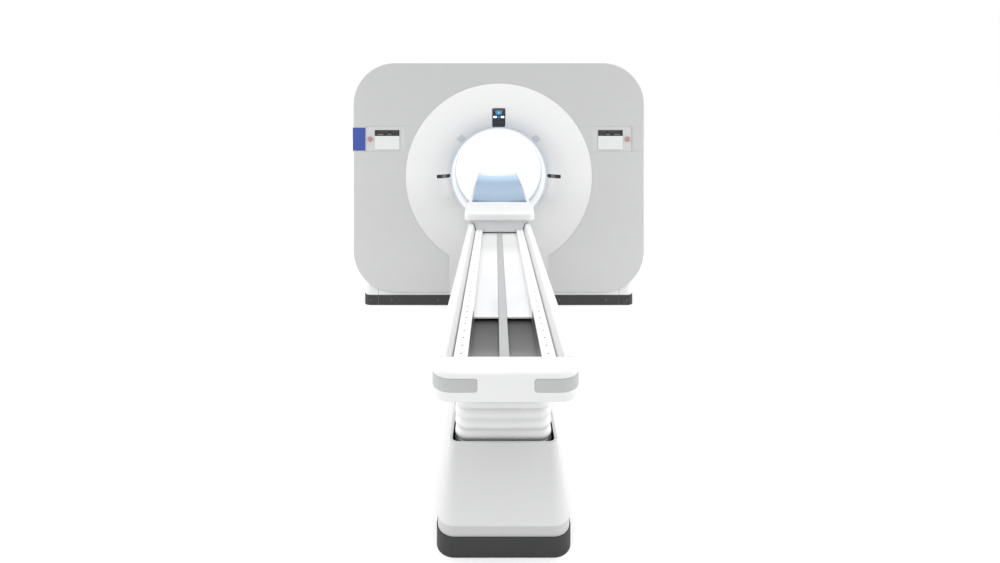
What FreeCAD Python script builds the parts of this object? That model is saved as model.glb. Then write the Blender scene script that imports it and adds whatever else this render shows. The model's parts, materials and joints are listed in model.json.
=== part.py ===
"""Wide-bore CT scanner: a floor-standing gantry with a rotating measuring unit, and a patient couch
that lifts a tray and slides a cradle into the bore.

Row frame, millimetres: +Z up, +Y from the foot of the couch through the bore, origin on the floor
under the isocentre, where the scan plane (y = 0) meets the bore axis.
"""
import math
import os

import FreeCAD
import Part

V = FreeCAD.Vector
FIT = 0.3          # gap between neighbouring covers and sliding faces
RUN = 0.05         # radial running clearance of shafts

# ---------------------------------------------------------------- gantry: driving dimensions
ISO_Z = 1062.0             # bore axis above the floor
GANTRY_DEPTH = 900.0       # front cover face to rear cover face
COVER_W = 2390.0
COVER_TOP = ISO_Z + 933.0
COVER_BOTTOM = 108.0
COVER_R = 344.0            # corner radius of both covers
COVER_WALL = 5.0
COVER_RIM = 52.0           # how far the rims of the covers reach back
COVER_EDGE_R = 11.0
BAND_WALL = 4.0            # side and top covers
BAND_OVERLAP = 30.0        # how deep they nest in the rims
BAND_SPLIT_Z = 1560.0      # seam between the top cover and the side covers

BORE_R = 390.0             # inside of the bore liner
LIP_R = BORE_R + 10.0      # inside of the front bezel's throat
LINER_WALL = 4.0
LIP_Y = 105.0              # throat lip behind the front cover face
SEAL_W = 16.0
LINER_REAR_Y = 140.0
WINDOW_HALF = 60.0         # half the width of the scan window ring
RING_R = 763.0             # outside of the white ring
RING_PROUD = 4.0
STEM_HALF = 406.0          # half the width of the stem under the ring
BEZEL_WALL = 5.0
REAR_RING_R = 650.0

# the front bezel's face from rim to throat: (radius, distance behind the front cover face)
FRONT_PROFILE = [(RING_R, -RING_PROUD), (LIP_R + 280, -15.0), (LIP_R + 190, -18.0), (LIP_R + 120, -8.0),
                 (LIP_R + 62, 20.0), (LIP_R + 21, 60.0), (LIP_R, LIP_Y)]

BASE_HALF_W = COVER_W / 2 - 84.0       # skirt, half width
BASE_HALF_D = GANTRY_DEPTH / 2 - 25.0
BASE_R = 60.0
SKIRT_WALL = 4.0
SKIRT_TOP = 262.0
PLINTH_H = 83.0
PLINTH_PROUD = 4.0
SEAM_X = BASE_HALF_W - 119.0           # vertical seams in skirt and plinth
SEAM_GAP = 3.0
SCREW_XS = (500.0, SEAM_X - 106.0, SEAM_X + 65.0)
SCREW_Z = 43.0
SCREW_R = 9.0

SILL_X = BASE_HALF_W - 211.0           # base frame: side sills and anchor holes
SILL_W = 130.0
BAND_FOOT_X = SILL_X - 20.0            # where the side covers end under the gantry
SILL_H = 80.0
BEAM_Y = BASE_HALF_D - 205.0
BEAM_W = 90.0
ANCHOR_Y = BASE_HALF_D - 125.0
ANCHOR_R = 11.0

# ---------------------------------------------------------------- gantry: measuring unit
DRUM_Y0, DRUM_T = 80.0, 50.0
DRUM_R, DRUM_HOLE_R = 800.0, 430.0
RACE_Y0, RACE_T = DRUM_Y0 + DRUM_T, 60.0
RACE_IN_R, RACE_MID_R, RACE_OUT_R = 600.0, 650.0, 700.0
STATOR_T = 40.0
STATOR_Y0 = RACE_Y0 + RACE_T
STATOR_HALF_W = SILL_X - 30.0
STATOR_R = 870.0
SLIP_IN_R, SLIP_OUT_R = 545.0, 575.0
SLIP_GROOVES = 6
TUBE_R, TUBE_AT_R, TUBE_L = 108.0, 640.0, 270.0
TANK_ANGLE, TANK_HALF_W, TANK_IN_R, TANK_OUT_R, TANK_DEPTH = 95.0, 190.0, 480.0, 760.0, 240.0
WEIGHT_ANGLE, WEIGHT_HALF_W = -84.3, 207.0    # balances the tank, the tube and the detector
COLLIMATOR_HALF_X, COLLIMATOR_HALF_Y = 70.0, 60.0
FOCUS_R = 600.0            # focal spot above the isocentre
FAN_IN_R, FAN_OUT_R, FAN_HALF_DEG, FAN_HALF_Y = 1085.0, 1180.0, 26.0, 80.0
PULLEY_R, PULLEY_SHAFT_R = 60.0, 20.0
PULLEY_X, PULLEY_Z = 780.0, ISO_Z - 640.0
BELT_T, BELT_W = 4.0, 36.0
MOTOR_R = 95.0

# ---------------------------------------------------------------- gantry: fittings in the front
PANEL_X, PANEL_Z = COVER_W / 2 - 266.0, ISO_Z + 309.0
PANEL_W, PANEL_H = 326.0, 209.0
PANEL_RECESS = 3.0
DISPLAY_X, DISPLAY_Z = PANEL_X - 13.0, PANEL_Z - 7.0
DISPLAY_W, DISPLAY_H, DISPLAY_T = 206.0, 163.0, 12.0
BUTTON_X, BUTTON_Z = PANEL_X + 127.0, PANEL_Z - 1.0
BUTTON_R, BUTTON_STEM_R, BUTTON_PROUD = 17.0, 7.0, 12.0
BUTTON_TRAVEL = 5.0
TAG_W, TAG_H, TAG_T, TAG_RETURN = 100.0, 188.0, 3.0, 34.0
TAG_Z = PANEL_Z - 2.0
CAMERA_HALF_W, CAMERA_IN_R, CAMERA_OUT_R, CAMERA_T = 53.0, LIP_R + 6, LIP_R + 160, 30.0
SLOT_HALF_H, SLOT_IN_R, SLOT_OUT_R = 14.5, LIP_R + 6, LIP_R + 108
EYE_HALF_W, EYE_IN_R, EYE_OUT_R = 28.0, LIP_R + 14, LIP_R + 62
CAMERA_CORNER_R, SLOT_CORNER_R, EYE_CORNER_R = 8.0, 9.0, 6.0
WINDOW_T = 8.0

# ---------------------------------------------------------------- couch: tray
TRAY_HALF_W = 215.0
TRAY_TOP = ISO_Z - 254.0
TRAY_BOTTOM = TRAY_TOP - 90.0
TRAY_WALL = 4.0
TRAY_FOOT_Y = -3205.0
TRAY_HEAD_Y = -600.0
CAP_L = 86.0               # foot cap, length
CAP_R = 62.0               # its corners in plan
RAIL_COVER_IN = 165.0      # foot of the side rails' sloping inner face
RAIL_TOP_IN = 179.0        # its top
TRAY_EDGE_R = 16.0         # rounding of the tray's upper edges
TRAY_HEM_R = 26.0          # and of its lower edges
RAIL_INNER_R = 10.0
GUIDE_IN, GUIDE_OUT = 118.0, 162.0
GUIDE_TOP, GUIDE_T = TRAY_TOP - 40.0, 12.0
GUIDE_PITCH, GUIDE_HOLE_R = 60.0, 4.5
FLOOR_TOP, FLOOR_T = TRAY_BOTTOM + 24.0, 6.0
FLANGE_WALL = 3.0          # upturned outer edges of the floor panels
FLOOR_FOOT_Y = -2636.0     # the floor panels start here; the well lies before them
STRIP_HALF_W, STRIP_TOP = 16.0, FLOOR_TOP + 2.0
CHASSIS_BASE_T = 4.0
PAD_IN_X, PAD_Z0, PAD_H, PAD_DEPTH = 82.0, TRAY_BOTTOM + 28.0, 37.0, 6.0
PAD_END_R = 8.0            # corners of the pads' inner ends
PAD_BACK_Y = 70.0          # how far the pads wrap round the corners
ROLLER_R, ROLLER_HALF_L, ROLLER_SHAFT_R = 18.0, 96.0, 8.0
ROLLER_Y = TRAY_HEAD_Y - 16.0
EAR_T = 8.0

# ---------------------------------------------------------------- couch: cradle
CARRIAGE_Y0, CARRIAGE_Y1 = -1111.0, -640.0
CARRIAGE_TOP = TRAY_TOP + 24.0
CARRIAGE_HALF_W = 186.0
CARRIAGE_GAP = 2.5         # between the carriage and the tray's sides
END_CAP_Y0, END_CAP_Y1 = -1141.0, -937.0
END_CAP_HALF_W = 243.0
END_CAP_R, END_CAP_EDGE_R, END_CAP_HEM_R = 46.0, 24.0, 9.0    # plan corners, upper and lower edges
END_CAP_FRONT_TOP, END_CAP_REAR_TOP = CARRIAGE_TOP + 54.0, CARRIAGE_TOP + 98.0
CRADLE_Y1 = 1450.0
CRADLE_HALF_W = 222.0
CRADLE_BOTTOM = CARRIAGE_TOP + 16.0
CRADLE_FLAT = 110.0        # half width of its flat underside
CRADLE_EDGE_Z = CRADLE_BOTTOM + 60.0      # lowest point of the side edges
CRADLE_LIP = 14.0          # height of the side edges
CRADLE_DISH = 18.0         # depth of the dished top
CRADLE_HEAD_R = 92.0       # its corners at the head end, in plan
MATTRESS_Y1 = 823.0
MATTRESS_HALF_W_FOOT, MATTRESS_HALF_W_HEAD = 203.0, 218.0
MATTRESS_T = 30.0

# ---------------------------------------------------------------- couch: pedestal and lift
PED_Y0, PED_Y1 = -2873.0, -1581.0
PED_HALF_W = 236.0
PED_R = 65.0
PED_BAND_Z0, PED_BAND_Z1 = 70.0, 106.0
PED_TOP = 352.0
PED_TOP_HALF_W = 197.0
PED_TOP_SETBACK = 70.0
PED_TOP_R = 32.0
PED_WALL = 5.0
PED_RIM = 10.0             # width of the rim round the bellows
COUCH_PLINTH_PROUD = 4.0
BELLOWS_GAP_X, BELLOWS_GAP_Y = 6.0, 19.0     # to the rim, at the sides and at the ends
BELLOWS_R = 52.0           # corners of the pleats, in plan
BELLOWS_FOOT_Z = PED_TOP - 22.0
BELLOWS_PLEAT = 13.0
BELLOWS_PITCH = 38.0
BELLOWS_WALL = 3.0
BASE_PLATE_T = 20.0
COUCH_ANCHOR_X, COUCH_ANCHOR_R, COUCH_ANCHOR_INSET = 150.0, 9.0, 105.0
COLUMN_HALF_X, COLUMN_HALF_Y, COLUMN_WALL = 75.0, 100.0, 10.0
MAST_FOOT_Z = 240.0
MAST_WALL = 10.0
NUT_T = 35.0
FLANGE_T = 10.0            # plate that carries the bellows
SCREW_SHAFT_R, SCREW_TOP = 20.0, TRAY_BOTTOM - 158.0
GEARBOX_H = 60.0
LIFT_MOTOR_R, LIFT_MOTOR_L = 28.0, 210.0
DUCT_HALF_W, DUCT_H, DUCT_WALL = 120.0, 50.0, 4.0

FRONT_Y = -GANTRY_DEPTH / 2
REAR_Y = GANTRY_DEPTH / 2
LIFT_Y = (PED_Y0 + PED_Y1) / 2
PED_TOP_Y0 = PED_Y0 + PED_TOP_SETBACK
PED_TOP_Y1 = PED_Y1 - PED_TOP_SETBACK
BELLOWS_HALF_W = PED_TOP_HALF_W - PED_RIM - BELLOWS_GAP_X
BELLOWS_Y0 = PED_TOP_Y0 + PED_RIM + BELLOWS_GAP_Y
BELLOWS_Y1 = PED_TOP_Y1 - PED_RIM - BELLOWS_GAP_Y
parts = {}


# ---------------------------------------------------------------- helpers
def box(x0, x1, y0, y1, z0, z1):
    """Solid block between two corners."""
    return Part.makeBox(x1 - x0, y1 - y0, z1 - z0, V(x0, y0, z0))


def disc(radius, y0, y1, x=0.0, z=ISO_Z):
    """Cylinder along Y."""
    return Part.makeCylinder(radius, y1 - y0, V(x, y0, z), V(0, 1, 0))


def post(radius, z0, z1, x=0.0, y=0.0):
    """Cylinder along Z."""
    return Part.makeCylinder(radius, z1 - z0, V(x, y, z0), V(0, 0, 1))


def ring(outer, inner, y0, y1):
    """Flat ring about the bore axis."""
    return disc(outer, y0, y1).cut(disc(inner, y0 - 1, y1 + 1))


def mirrored(shape):
    return shape.mirror(V(0, 0, 0), V(1, 0, 0))


def rounded_wire(x0, x1, y0, y1, radius, z):
    """Rounded rectangle in a horizontal plane."""
    r = radius
    q = r * (1 - math.sqrt(0.5))
    corners = [(V(x1 - r, y0, z), V(x1 - q, y0 + q, z), V(x1, y0 + r, z)),
               (V(x1, y1 - r, z), V(x1 - q, y1 - q, z), V(x1 - r, y1, z)),
               (V(x0 + r, y1, z), V(x0 + q, y1 - q, z), V(x0, y1 - r, z)),
               (V(x0, y0 + r, z), V(x0 + q, y0 + q, z), V(x0 + r, y0, z))]
    edges = []
    for i, corner in enumerate(corners):
        edges.append(Part.Arc(*corner).toShape())
        edges.append(Part.LineSegment(corner[2], corners[(i + 1) % 4][0]).toShape())
    return Part.Wire(edges)


def rounded_block(x0, x1, y0, y1, radius, z0, z1):
    """Block whose vertical corners are round."""
    return Part.Face(rounded_wire(x0, x1, y0, y1, radius, z0)).extrude(V(0, 0, z1 - z0))


def cover_block(inset, y0, y1):
    """The gantry's rounded-rectangle outline, moved inwards by inset, as a slab from y0 to y1."""
    half = COVER_W / 2 - inset
    z0, z1 = COVER_BOTTOM + inset, COVER_TOP - inset
    flat = rounded_block(-half, half, z0, z1, COVER_R - inset, 0, y1 - y0)
    flat.rotate(V(0, 0, 0), V(1, 0, 0), 90)
    flat.translate(V(0, y1, 0))
    return flat


def extrude_section(points, y0, y1):
    """Closed polygon of (x, z) points, extruded along Y."""
    return Part.Face(Part.makePolygon([V(x, y0, z) for x, z in points + points[:1]])).extrude(
        V(0, y1 - y0, 0))


def offset_profile(profile, shift):
    """Profile of (radius, y) points, moved by shift along its own normal, positive out of the face."""
    moved = []
    for i, (r, y) in enumerate(profile):
        (r0, y0), (r1, y1) = profile[max(i - 1, 0)], profile[min(i + 1, len(profile) - 1)]
        dr, dy = r1 - r0, y1 - y0
        length = math.hypot(dr, dy)
        moved.append((r - dy / length * shift, y + dr / length * shift))
    return moved


def spline_edge(profile):
    curve = Part.BSplineCurve()
    curve.interpolate([V(r, y, ISO_Z) for r, y in profile])
    return curve.toShape()


def turned_shell(profile, out, back):
    """Wall along a profile, from `out` proud of it to `back` behind it, turned about the bore axis.

    Its seam lies at 6 o'clock, away from the windows.
    """
    face_side, back_side = offset_profile(profile, out), offset_profile(profile, -back)
    ends = [Part.LineSegment(V(*a, ISO_Z), V(*b, ISO_Z)).toShape()
            for a, b in ((face_side[-1], back_side[-1]), (back_side[0], face_side[0]))]
    wire = Part.Wire([spline_edge(face_side), ends[0], spline_edge(back_side), ends[1]])
    shell = Part.Face(wire).revolve(V(0, 0, ISO_Z), V(0, 1, 0), 360)
    shell.rotate(V(0, 0, ISO_Z), V(0, 1, 0), 90)
    return shell


def window_in_bezel(half_w, r0, r1, corner_r, angle, out, back):
    """Piece of the bezel's face cut out by a round-cornered block that stands at `angle` from 12 o'clock."""
    block = box(-half_w, half_w, FRONT_Y - 100, FRONT_Y + 200, ISO_Z + r0, ISO_Z + r1)
    block = block.makeFillet(corner_r, [e for e in block.Edges if e.Length > 299])
    block.rotate(V(0, 0, ISO_Z), V(0, 1, 0), angle)
    return turned_shell(front_profile(), out, back).common(block)


def front_profile():
    return [(r, FRONT_Y + y) for r, y in FRONT_PROFILE]


def keep(name, shape):
    """Stores a node; every node is one or more clean closed solids."""
    solids = [s for s in shape.Solids if s.Volume > 1.0]
    parts[name] = solids[0] if len(solids) == 1 else Part.makeCompound(solids)
    return parts[name]


# ---------------------------------------------------------------- gantry covers
def keyhole(grow, y0, y1):
    """Ring and stem outline of the white bezel, grown outwards."""
    stem = box(-STEM_HALF - grow, STEM_HALF + grow, y0, y1, COVER_BOTTOM - 1, ISO_Z)
    return disc(RING_R + grow, y0, y1).fuse(stem)


def panel_block(sign, shrink, y0, y1):
    """Block that fills a control panel's recess."""
    x, w, h = sign * PANEL_X, PANEL_W / 2 - shrink, PANEL_H / 2 - shrink
    return box(x - w, x + w, y0, y1, PANEL_Z - h, PANEL_Z + h)


def make_covers():
    for name, sign in (("front_cover", -1), ("rear_cover", 1)):
        y_face = sign * GANTRY_DEPTH / 2
        y_in, y_back = y_face - sign * COVER_WALL, y_face - sign * COVER_RIM
        slab = cover_block(0, min(y_face, y_back), max(y_face, y_back))
        rim = [e for e in slab.Edges if all(abs(v.Y - y_face) < 0.01 for v in e.Vertexes)]
        slab = slab.makeFillet(COVER_EDGE_R, rim)
        y_open = y_back - sign
        shell = slab.cut(cover_block(COVER_WALL, min(y_in, y_open), max(y_in, y_open)))
        if sign < 0:
            shell = shell.cut(keyhole(FIT, FRONT_Y - 10, FRONT_Y + COVER_RIM + 10))
            for side in (-1, 1):
                shell = shell.cut(panel_block(side, -FIT, FRONT_Y - 1, FRONT_Y + COVER_WALL + 1))
        else:
            shell = shell.cut(disc(REAR_RING_R + FIT, REAR_Y - COVER_RIM - 10, REAR_Y + 10))
        keep(name, shell)

    inset = COVER_WALL + FIT
    y0, y1 = FRONT_Y + COVER_RIM - BAND_OVERLAP, REAR_Y - COVER_RIM + BAND_OVERLAP
    band = cover_block(inset, y0, y1).cut(cover_block(inset + BAND_WALL, y0 - 1, y1 + 1))
    band = band.cut(box(-BAND_FOOT_X, BAND_FOOT_X, y0 - 1, y1 + 1, 0, ISO_Z - RING_R))
    far = COVER_W
    keep("top_cover", band.common(box(-far, far, y0 - 1, y1 + 1, BAND_SPLIT_Z + FIT, COVER_TOP)))
    lower = band.common(box(-far, far, y0 - 1, y1 + 1, 0, BAND_SPLIT_Z))
    keep("left_side_cover", lower.common(box(-far, 0, y0 - 1, y1 + 1, 0, BAND_SPLIT_Z)))
    keep("right_side_cover", lower.common(box(0, far, y0 - 1, y1 + 1, 0, BAND_SPLIT_Z)))


def make_bezels():
    ring_shell = turned_shell(front_profile(), 0, BEZEL_WALL)
    y_face = FRONT_Y - RING_PROUD
    stem = box(-STEM_HALF, STEM_HALF, y_face, y_face + BEZEL_WALL, COVER_BOTTOM, ISO_Z)
    stem = stem.cut(disc(RING_R - BEZEL_WALL, y_face - 1, y_face + BEZEL_WALL + 1))
    for side in (-1, 1):   # the stem's folded side edges
        edge = side * (STEM_HALF - BEZEL_WALL / 2)
        stem = stem.fuse(box(edge - BEZEL_WALL / 2, edge + BEZEL_WALL / 2, y_face, FRONT_Y + COVER_RIM,
                             COVER_BOTTOM, ISO_Z - math.sqrt(RING_R ** 2 - STEM_HALF ** 2)))
    bezel = ring_shell.fuse(stem)
    windows = {"camera_housing": (CAMERA_HALF_W, CAMERA_IN_R, CAMERA_OUT_R, CAMERA_CORNER_R, (0,)),
               "laser_windows": (SLOT_HALF_H, SLOT_IN_R, SLOT_OUT_R, SLOT_CORNER_R, (-90, 90)),
               "corner_windows": (EYE_HALF_W, EYE_IN_R, EYE_OUT_R, EYE_CORNER_R, (-45, 45))}
    depths = {"camera_housing": (3, CAMERA_T), "laser_windows": (1, WINDOW_T),
              "corner_windows": (1, WINDOW_T)}
    for name, (half, r0, r1, corner, angles) in windows.items():
        out, back = depths[name]
        for angle in angles:
            bezel = bezel.cut(window_in_bezel(half + FIT, r0 - FIT, r1 + FIT, corner + FIT, angle, 20, 60))
        keep(name, Part.makeCompound(
            [window_in_bezel(half, r0, r1, corner, angle, out, back) for angle in angles]))
    keep("front_bezel", bezel)

    rear = [(REAR_RING_R, REAR_Y + 1), (BORE_R + 200, REAR_Y + 6), (BORE_R + 130, REAR_Y - 12),
            (BORE_R + 76, REAR_Y - 60), (BORE_R + 34, REAR_Y - 150), (BORE_R + 12.0, REAR_Y - 240),
            (BORE_R + LINER_WALL / 2, LINER_REAR_Y)]
    keep("rear_bezel", turned_shell(rear, BEZEL_WALL / 2, BEZEL_WALL / 2))


def make_bore():
    lip_y = FRONT_Y + LIP_Y + BEZEL_WALL / 2
    liner_y = lip_y + SEAL_W
    outer = BORE_R + LINER_WALL
    keep("bore_seal_ring", ring(LIP_R + 5, BORE_R + 2, lip_y, liner_y))
    keep("bore_liner_front", ring(outer, BORE_R, liner_y, -WINDOW_HALF))
    keep("scan_window", ring(outer - 1, BORE_R, -WINDOW_HALF, WINDOW_HALF))
    keep("bore_liner_rear", ring(outer, BORE_R, WINDOW_HALF, LINER_REAR_Y - FIT))


def wall_round_base(grow, z0, z1, wall):
    """Wall round the gantry's base, with round corners."""
    w, d = BASE_HALF_W + grow, BASE_HALF_D + grow
    outer = rounded_block(-w, w, -d, d, BASE_R, z0, z1)
    return outer.cut(rounded_block(-w + wall, w - wall, -d + wall, d - wall, BASE_R - wall, z0 - 1, z1 + 1))


def split_at_seams(wall, z1):
    """Front and rear strips, and left and right ends, of a wall round the base."""
    d = BASE_HALF_D + 50
    half = SEAM_X - SEAM_GAP / 2
    strips = wall.common(box(-half, half, -d, d, -1, z1))
    ends = wall.cut(box(-SEAM_X - SEAM_GAP / 2, SEAM_X + SEAM_GAP / 2, -d, d, -1, z1))
    return strips, ends


def make_base():
    clear = 1.0
    skirt = wall_round_base(0, PLINTH_H, SKIRT_TOP, SKIRT_WALL)
    skirt = skirt.cut(cover_block(-clear, FRONT_Y - 5, REAR_Y + 5))
    strips, ends = split_at_seams(skirt, SKIRT_TOP + 1)
    keep("skirt_strips", strips)
    keep("skirt_ends", ends)

    plinth = wall_round_base(PLINTH_PROUD, 0, PLINTH_H, SKIRT_WALL + PLINTH_PROUD)
    front = -BASE_HALF_D - PLINTH_PROUD
    heads = []
    for side in (-1, 1):
        for x in SCREW_XS:
            hole = disc(SCREW_R + FIT, front - 1, front + 4, side * x, SCREW_Z)
            plinth = plinth.cut(hole)
            head = disc(SCREW_R, front + 1, front + 4, side * x, SCREW_Z)
            heads.append(head.cut(disc(SCREW_R * 0.4, front, front + 2.5, side * x, SCREW_Z)))
    strips, ends = split_at_seams(plinth, PLINTH_H + 1)
    keep("plinth_strips", strips)
    keep("plinth_ends", ends)
    keep("plinth_screws", Part.makeCompound(heads))

    reach = BASE_HALF_D - SKIRT_WALL - FIT
    frame = box(-SILL_X - SILL_W / 2, -SILL_X + SILL_W / 2, -reach, reach, 0, SILL_H)
    frame = frame.fuse(mirrored(frame))
    for side in (-1, 1):
        y = side * BEAM_Y
        frame = frame.fuse(box(-SILL_X, SILL_X, y - BEAM_W / 2, y + BEAM_W / 2, 0, SILL_H))
        for x in (-SILL_X, SILL_X):
            frame = frame.cut(post(ANCHOR_R, -1, SILL_H + 1, x, side * ANCHOR_Y))
    keep("base_frame", frame.removeSplitter())


# ---------------------------------------------------------------- measuring unit
def make_stator():
    y0, y1 = STATOR_Y0, STATOR_Y0 + STATOR_T
    plate = box(-STATOR_HALF_W, STATOR_HALF_W, y0, y1, SILL_H, ISO_Z).fuse(disc(STATOR_R, y0, y1))
    side_wall = COVER_W / 2 - COVER_WALL - FIT - BAND_WALL - FIT
    top_wall = COVER_TOP - COVER_WALL - FIT - BAND_WALL - FIT
    for z in (ISO_Z - 200, ISO_Z + 400):    # arms that carry the side covers
        for side in (-1, 1):
            plate = plate.fuse(box(min(side * 600, side * side_wall), max(side * 600, side * side_wall),
                                   y0, y1, z - 40, z + 40))
    plate = plate.fuse(box(-60, 60, y0, y1, ISO_Z + STATOR_R - 20, top_wall))
    plate = plate.cut(disc(RACE_OUT_R - 25, y0 - 1, y1 + 1))
    keep("stator_frame", plate.removeSplitter())
    keep("bearing_outer_race", ring(RACE_OUT_R, RACE_MID_R + 1, RACE_Y0 + 5, STATOR_Y0))

    shaft_y0 = DRUM_Y0 + 6
    motor = disc(MOTOR_R, STATOR_Y0 - 45, STATOR_Y0, PULLEY_X, PULLEY_Z)
    motor = motor.cut(disc(PULLEY_SHAFT_R + RUN, STATOR_Y0 - 46, STATOR_Y0 - 10, PULLEY_X, PULLEY_Z))
    keep("drive_motor", motor)
    pulley = disc(PULLEY_R, shaft_y0, shaft_y0 + BELT_W, PULLEY_X, PULLEY_Z)
    keep("drive_pulley", pulley.fuse(disc(PULLEY_SHAFT_R, shaft_y0, STATOR_Y0 - 12, PULLEY_X, PULLEY_Z)))

    def round_both(grow, y0, y1):
        """Outline of a belt laid round the drum and the pulley."""
        dx, dz = PULLEY_X, PULLEY_Z - ISO_Z
        span = math.hypot(dx, dz)
        lean = math.acos((DRUM_R - PULLEY_R) / span)
        along = math.atan2(dz, dx)
        points = []
        for side in (1, -1):
            a = along + side * lean
            for cx, cz, r in ((0, ISO_Z, DRUM_R + grow), (PULLEY_X, PULLEY_Z, PULLEY_R + grow))[::side]:
                points.append((cx + r * math.cos(a), cz + r * math.sin(a)))
        return disc(DRUM_R + grow, y0, y1).fuse(disc(PULLEY_R + grow, y0, y1, PULLEY_X, PULLEY_Z)).fuse(
            extrude_section(points, y0, y1)).removeSplitter()

    belt = round_both(FIT + BELT_T, shaft_y0 + 1, shaft_y0 + BELT_W - 1)
    keep("drive_belt", belt.cut(round_both(FIT, shaft_y0, shaft_y0 + BELT_W)))


def make_rotor():
    drum_y1 = DRUM_Y0 + DRUM_T
    keep("rotor_drum", ring(DRUM_R, DRUM_HOLE_R, DRUM_Y0, drum_y1))
    keep("bearing_inner_race", ring(RACE_MID_R, RACE_IN_R, drum_y1, RACE_Y0 + RACE_T - 5))
    slip = ring(SLIP_OUT_R, SLIP_IN_R, drum_y1, STATOR_Y0 + 90)
    pitch = (STATOR_Y0 + 90 - drum_y1) / (SLIP_GROOVES + 1)
    for i in range(SLIP_GROOVES):
        y = drum_y1 + pitch * (i + 0.75)
        slip = slip.cut(ring(SLIP_OUT_R + 1, SLIP_OUT_R - 8, y, y + pitch / 2))
    keep("slip_ring", slip)

    tube = disc(TUBE_R, DRUM_Y0 - TUBE_L, DRUM_Y0, 0, ISO_Z + TUBE_AT_R)
    cx, cy = COLLIMATOR_HALF_X, COLLIMATOR_HALF_Y
    collimator = box(-cx, cx, -cy, cy, ISO_Z + DRUM_HOLE_R + 10, ISO_Z + TUBE_AT_R - TUBE_R / 2)
    keep("xray_tube", tube.fuse(collimator))

    focus = ISO_Z + FOCUS_R
    drop = 1400.0
    reach = drop * math.tan(math.radians(FAN_HALF_DEG))
    sector = extrude_section([(0, focus), (-reach, focus - drop), (reach, focus - drop)],
                             -FAN_HALF_Y, FAN_HALF_Y)
    fan = disc(FAN_OUT_R, -FAN_HALF_Y, FAN_HALF_Y, 0, focus).cut(
        disc(FAN_IN_R, -FAN_HALF_Y - 1, FAN_HALF_Y + 1, 0, focus)).common(sector)
    keep("detector_array", fan)

    def rim_box(angle, half_w, r0, r1, depth):
        """Housing bolted to the drum's face, `angle` from 12 o'clock."""
        block = box(-half_w, half_w, DRUM_Y0 - depth, DRUM_Y0, ISO_Z + r0, ISO_Z + r1)
        block.rotate(V(0, 0, ISO_Z), V(0, 1, 0), angle)
        return block

    keep("generator_tank", rim_box(TANK_ANGLE, TANK_HALF_W, TANK_IN_R, TANK_OUT_R, TANK_DEPTH))
    keep("counterweight", rim_box(WEIGHT_ANGLE, WEIGHT_HALF_W, TANK_IN_R, TANK_OUT_R, TANK_DEPTH))


# ---------------------------------------------------------------- control panels
def make_panels():
    for side, word in ((-1, "left"), (1, "right")):
        y0 = FRONT_Y + PANEL_RECESS
        frame = panel_block(side, 0, y0, y0 + 25)
        dx, dz = side * DISPLAY_X, DISPLAY_Z
        pocket = box(dx - DISPLAY_W / 2 - FIT, dx + DISPLAY_W / 2 + FIT, y0 - 1, y0 + DISPLAY_T - 4,
                     dz - DISPLAY_H / 2 - FIT, dz + DISPLAY_H / 2 + FIT)
        bx = side * BUTTON_X
        frame = frame.cut(pocket).cut(disc(BUTTON_STEM_R + RUN, y0 - 1, y0 + 26, bx, BUTTON_Z))
        keep("control_panel_" + word, frame)
        keep("display_" + word, box(dx - DISPLAY_W / 2, dx + DISPLAY_W / 2, y0 - 4, y0 + DISPLAY_T - 4,
                                    dz - DISPLAY_H / 2, dz + DISPLAY_H / 2))
        head = disc(BUTTON_R, y0 - BUTTON_PROUD, y0 - BUTTON_TRAVEL - 1, bx, BUTTON_Z)
        head = head.makeFillet(3, [e for e in head.Edges if all(v.Y < y0 - BUTTON_PROUD + 0.1
                                                                for v in e.Vertexes)])
        stem = disc(BUTTON_STEM_R, y0 - BUTTON_TRAVEL - 1, y0 + 20, bx, BUTTON_Z)
        keep("stop_button_" + word, head.fuse(stem))
    edge = COVER_W / 2
    leg = box(-edge - TAG_T, -edge + TAG_W, FRONT_Y - TAG_T, FRONT_Y, TAG_Z - TAG_H / 2, TAG_Z + TAG_H / 2)
    fold = box(-edge - TAG_T, -edge, FRONT_Y - TAG_T, FRONT_Y + TAG_RETURN,
               TAG_Z - TAG_H / 2, TAG_Z + TAG_H / 2)
    tag = leg.fuse(fold).removeSplitter()
    corner = [e for e in tag.Edges if e.Length > TAG_H - 1 and
              all(abs(v.X + edge + TAG_T) < 0.1 and abs(v.Y - FRONT_Y + TAG_T) < 0.1 for v in e.Vertexes)]
    keep("side_tag", tag.makeFillet(TAG_T, corner))


# ---------------------------------------------------------------- couch tray
def rounded_section(corners, y0, y1):
    """Closed section of (x, z, radius) corners, each rounded by a tangent arc, extruded along Y."""
    edges, starts, ends, mids = [], [], [], []
    for i, (x, z, r) in enumerate(corners):
        (xa, za, _), (xb, zb, _) = corners[i - 1], corners[(i + 1) % len(corners)]
        here = V(x, y0, z)
        to_a, to_b = V(xa, y0, za).sub(here).normalize(), V(xb, y0, zb).sub(here).normalize()
        half = to_a.getAngle(to_b) / 2
        reach = r / math.tan(half)
        inward = (to_a + to_b).normalize()
        centre = here + inward * (r / math.sin(half))
        starts.append(here + to_a * reach)
        ends.append(here + to_b * reach)
        mids.append(centre - inward * r)
    for i, corner in enumerate(corners):
        if corner[2]:
            edges.append(Part.Arc(starts[i], mids[i], ends[i]).toShape())
        edges.append(Part.LineSegment(ends[i], starts[(i + 1) % len(corners)]).toShape())
    return Part.Face(Part.Wire(edges)).extrude(V(0, y1 - y0, 0))


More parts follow.
